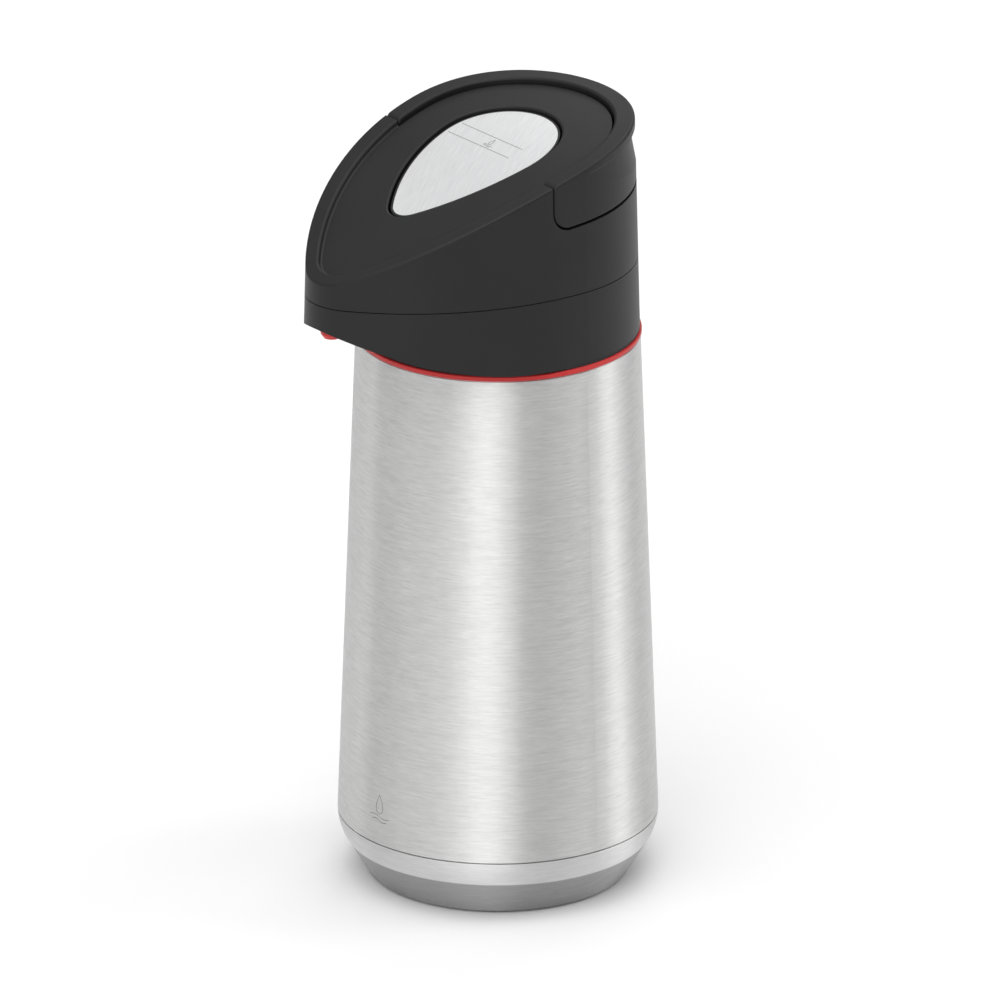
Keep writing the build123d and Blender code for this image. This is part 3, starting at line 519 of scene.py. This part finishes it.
def line_mesh(name, lines):
    """A mesh of loose edges from lists of points in millimetres."""
    verts, edges = [], []
    for line in lines:
        start = len(verts)
        verts += [Vector(p) * MM for p in line]
        edges += [(start + k, start + k + 1) for k in range(len(line) - 1)]
    mesh = bpy.data.meshes.new(name)
    mesh.from_pydata(verts, edges, [])
    return mesh


def droplet(size, steps=28):
    """Outline of a falling drop, height = size, centred."""
    out = []
    for k in range(steps + 1):
        a = 2 * math.pi * k / steps
        out.append((0.34 * size * math.sin(a) * math.sin(a / 2) ** 1.4, -0.5 * size * math.cos(a)))
    return [(x, -y) for x, y in out]


def wave(width, height, y, steps=14):
    """One full ripple, centred on x = 0."""
    out = []
    for k in range(steps + 1):
        out.append((width * (k / steps - 0.5), y + height * math.sin(2 * math.pi * k / steps)))
    return out


def mark(size):
    """A plain water mark: a drop over two ripples."""
    return [
        [(x, y + 0.12 * size) for x, y in droplet(size * 0.7)],
        wave(size, 0.05 * size, -0.34 * size),
        wave(size * 0.7, 0.05 * size, -0.48 * size),
    ]


print("a mark is", len(mark(1.0)), "lines")

# %% [markdown]
# ## Lines on the button's plate
# The steel plate has two fine lines across it with the mark between them. The plate slopes and is
# slightly curved, so a ray is dropped on it at every point and the line is laid where it lands. A
# point beside the plate is left out.

# %% Lines on the button's plate
RAY_START = 0.5  # metres above the table, well over the head
PLATE_PROUD = 0.02  # height of a line's centre over the plate in millimetres


def plate_height(x, y):
    """Height of the plate at a point in millimetres, or None beside it."""
    start = Vector((x * MM, y * MM, RAY_START))
    hit, at, _, _ = NODES["button_plate"].ray_cast(start, Vector((0, 0, -1)))
    return at.z / MM if hit else None


def on_plate(points):
    """Lays a flat drawing on the plate."""
    found = [(x, y, plate_height(x, y)) for x, y in points]
    return [(x, y, z + PLATE_PROUD) for x, y, z in found if z is not None]


CROSS_LINES_Y = (1.5, -6.4)
CROSS_START = -27.5
CROSS_STEP = 1.2
CROSS_POINTS = 37
PLATE_MARK = 5.6
PLATE_MARK_X = 2.0
PLATE_MARK_Y = 2.45

ENGRAVED = steel_round("engraved_steel", (0.16, 0.16, 0.16), (0.24, 0.24, 0.24), 0.45, 0.4)
across = [
    [(CROSS_START + CROSS_STEP * k, y) for k in range(CROSS_POINTS)] for y in CROSS_LINES_Y
]
drawing = [[(x - PLATE_MARK_X, y - PLATE_MARK_Y) for x, y in part] for part in mark(PLATE_MARK)]
plate_lines = [on_plate(part) for part in across + drawing]
grown(
    "plate_engraving", GROOVE, line_mesh("plate_lines", [p for p in plate_lines if len(p) > 1]),
    BODY_OF["button_plate"], "plate_steel", Radius=0.11 * MM, Material=ENGRAVED,
)
print(len(plate_lines), "lines on", BODY_OF["button_plate"])

# %% [markdown]
# ## Mark low on the bottle
# The bottle carries the same mark near its foot. Its wall is a cone, so the radius at each height
# follows from the two ends of the taper, and the flat drawing is bent round it. The centre of each
# line lies just inside the steel, so only its top shows.

# %% Mark low on the bottle
TAPER_LOW_Z = 29.6
TAPER_HIGH_Z = 257.8
TAPER_LOW_R = 72.5
TAPER_HIGH_R = 64.1
LINE_R = 72.4  # radius of a line's centre at the low end
SHELL_MARK = 13.0
SHELL_MARK_TURN = 3.6  # degrees from the nose
SHELL_MARK_Z = 47.0


def on_shell(points, azimuth, height):
    """Bends a flat drawing round the shell; azimuth in degrees from the nose."""
    narrows = TAPER_LOW_R - TAPER_HIGH_R
    out = []
    for x, z in points:
        r = LINE_R - (z + height - TAPER_LOW_Z) * narrows / (TAPER_HIGH_Z - TAPER_LOW_Z)
        a = math.radians(azimuth) + x / r
        out.append((r * math.sin(a), -r * math.cos(a), z + height))
    return out


shell_lines = [on_shell(part, SHELL_MARK_TURN, SHELL_MARK_Z) for part in mark(SHELL_MARK)]
grown(
    "shell_engraving", GROOVE, line_mesh("shell_lines", shell_lines),
    BODY_OF["outer_shell"], "body_steel", Radius=0.15 * MM, Material=ENGRAVED,
)
print(len(shell_lines), "lines on", BODY_OF["outer_shell"])

# %% [markdown]
# ## Rings of treads and lugs
# The rubber foot has short treads that grip the table, and the ring at the neck has lugs. Each is
# one small block repeated round the axis, so the tree for rings makes both. The tree needs a mesh
# to start from, and an empty one is enough.

# %% Rings of treads and lugs
TREADS = 48
LUGS = 24
empty = bpy.data.meshes.new("seed")
grown(
    "foot_treads", RING, empty, BODY_OF["foot_pad"], "foot_rubber",
    Count=TREADS, Radius=29.0 * MM, Height=0.45 * MM, Size=(26.0 * MM, 1.1 * MM, 0.5 * MM),
    Material=MATERIALS["foot_rubber"],
)
grown(
    "neck_lugs", RING, empty.copy(), BODY_OF["neck_ring"], "inner_plastic",
    Count=LUGS, Radius=47.2 * MM, Height=262.5 * MM, Size=(9.0 * MM, 1.6 * MM, 1.4 * MM),
    Material=MATERIALS[SLOT_OF["neck_ring"]],
)
print("rings of", TREADS, "treads and", LUGS, "lugs")

# %% [markdown]
# ## Table
# The pot stands on a wide white table that fades into the background. One large plane is enough,
# as long as it's matt, so that it takes a soft shadow and mirrors nothing.

# %% Table
def floor():
    """A wide pale table under the pot."""
    bpy.ops.mesh.primitive_plane_add(size=60.0, location=(0, 0, 0))
    f = bpy.context.object
    f.name = "floor"
    m, t, b, c = start_material("floor")
    n = node(t, "ShaderNodeTexNoise", Vector=c, Scale=3.0, Detail=2.0)
    tone = spread(t, n.outputs[0], 0.3, 0.7, (0.90, 0.90, 0.90), (0.92, 0.92, 0.92))
    t.links.new(tone, b.inputs["Base Color"])
    b.inputs["Roughness"].default_value = 0.9
    f.data.materials.append(m)


floor()
print("table ready")

# %% [markdown]
# ## Sky of boards
# Steel looks like what stands round it, so its bands come from tall white and grey boards round the
# table. Real planes would do, but a sky whose brightness changes with direction is simpler to set
# and throws no shadows. Overhead the boards fade into an even ceiling.

# %% Sky of boards
SKY_GAIN = 0.93
CEILING = 0.95
CEILING_STARTS = 0.55  # sine of the height above the horizon
CEILING_FULL = 0.9
# (degrees to the right of the camera's side, brightness)
BOARDS = [
    (-180, 0.35), (-150, 0.2), (-132, 0.55), (-116, 0.9), (-103, 0.2), (-90, 0.5),
    (-72, 0.8), (-40, 0.85), (-28, 1.5), (-15, 2.4), (-4, 2.3), (8, 1.2),
    (19, 0.08), (32, 0.02), (52, 0.4), (66, 0.85), (79, 0.1), (88, 1.6),
    (99, 2.8), (112, 1.3), (126, 0.25), (160, 0.4), (180, 0.35),
]


def facing(t, direction, towards):
    """How far a direction points towards another one."""
    return node(
        t, "ShaderNodeVectorMath", {"operation": "DOT_PRODUCT"}, in_0=direction, in_1=towards,
    ).outputs["Value"]


def sky():
    """A world whose brightness follows the boards round the table."""
    w = bpy.data.worlds.new("sky")
    bpy.context.scene.world = w
    w.use_nodes = True
    t = w.node_tree
    d = t.nodes.new("ShaderNodeTexCoord").outputs["Generated"]
    to_cam = (math.sin(VIEW_AZ), -math.cos(VIEW_AZ), 0)
    to_right = (math.cos(VIEW_AZ), math.sin(VIEW_AZ), 0)
    ahead = facing(t, d, to_cam)
    right = facing(t, d, to_right)
    turn = math_node(t, "ARCTAN2", right, ahead)
    fac = math_node(t, "ADD", math_node(t, "DIVIDE", turn, 2 * math.pi), 0.5)
    ramp = t.nodes.new("ShaderNodeValToRGB")
    ramp.color_ramp.interpolation = "EASE"
    stops = ramp.color_ramp.elements
    top = max(v for _, v in BOARDS)
    for k, (deg, v) in enumerate(BOARDS):
        e = stops[k] if k < 2 else stops.new(deg / 360 + 0.5)
        e.position = deg / 360 + 0.5
        e.color = (v / top, v / top, v / top, 1)
    t.links.new(fac, ramp.inputs[0])
    # the ceiling is divided by top as the boards are, because the strength multiplies both
    up = node(t, "ShaderNodeSeparateXYZ", Vector=d).outputs[2]
    lift = node(t, "ShaderNodeMapRange", {"interpolation_type": "SMOOTHSTEP"}, Value=up)
    lift.inputs["From Min"].default_value = CEILING_STARTS
    lift.inputs["From Max"].default_value = CEILING_FULL
    mix = node(t, "ShaderNodeMix", {"data_type": "RGBA"})
    t.links.new(lift.outputs[0], mix.inputs["Factor"])
    t.links.new(ramp.outputs[0], mix.inputs[6])
    mix.inputs[7].default_value = (CEILING / top, CEILING / top, CEILING / top, 1)
    bg = t.nodes["Background"]
    t.links.new(mix.outputs[2], bg.inputs["Color"])
    bg.inputs["Strength"].default_value = top * SKY_GAIN


sky()
print("sky with", len(BOARDS), "stops")

# %% [markdown]
# ## Lamps
# A large soft lamp overhead gives the top of the head its even sheen, and a smaller one at the back
# right lifts the far edge off the background. Small hard lamps would leave sharp spots on the
# steel.

# %% Lamps
LAMP_AIM = Vector((0, 0, 0.2))


def area(name, azimuth, elevation, distance, size, watts):
    """A soft lamp aimed at the pot; azimuth is to the right of the camera's side."""
    a = VIEW_AZ + math.radians(azimuth)
    e = math.radians(elevation)
    away = Vector((math.sin(a) * math.cos(e), -math.cos(a) * math.cos(e), math.sin(e)))
    at = LAMP_AIM + distance * away
    d = bpy.data.lights.new(name, "AREA")
    d.shape = "RECTANGLE"
    d.size, d.size_y = size
    d.energy = watts
    o = bpy.data.objects.new(name, d)
    o.location = at
    o.rotation_euler = (at - LAMP_AIM).to_track_quat("Z", "Y").to_euler()
    bpy.context.scene.collection.objects.link(o)


area("top_soft", -18, 74, 3.0, (3.0, 3.0), 42.0)
area("back_right", 165, 45, 2.6, (1.4, 2.0), 10.0)
print("lamps ready")
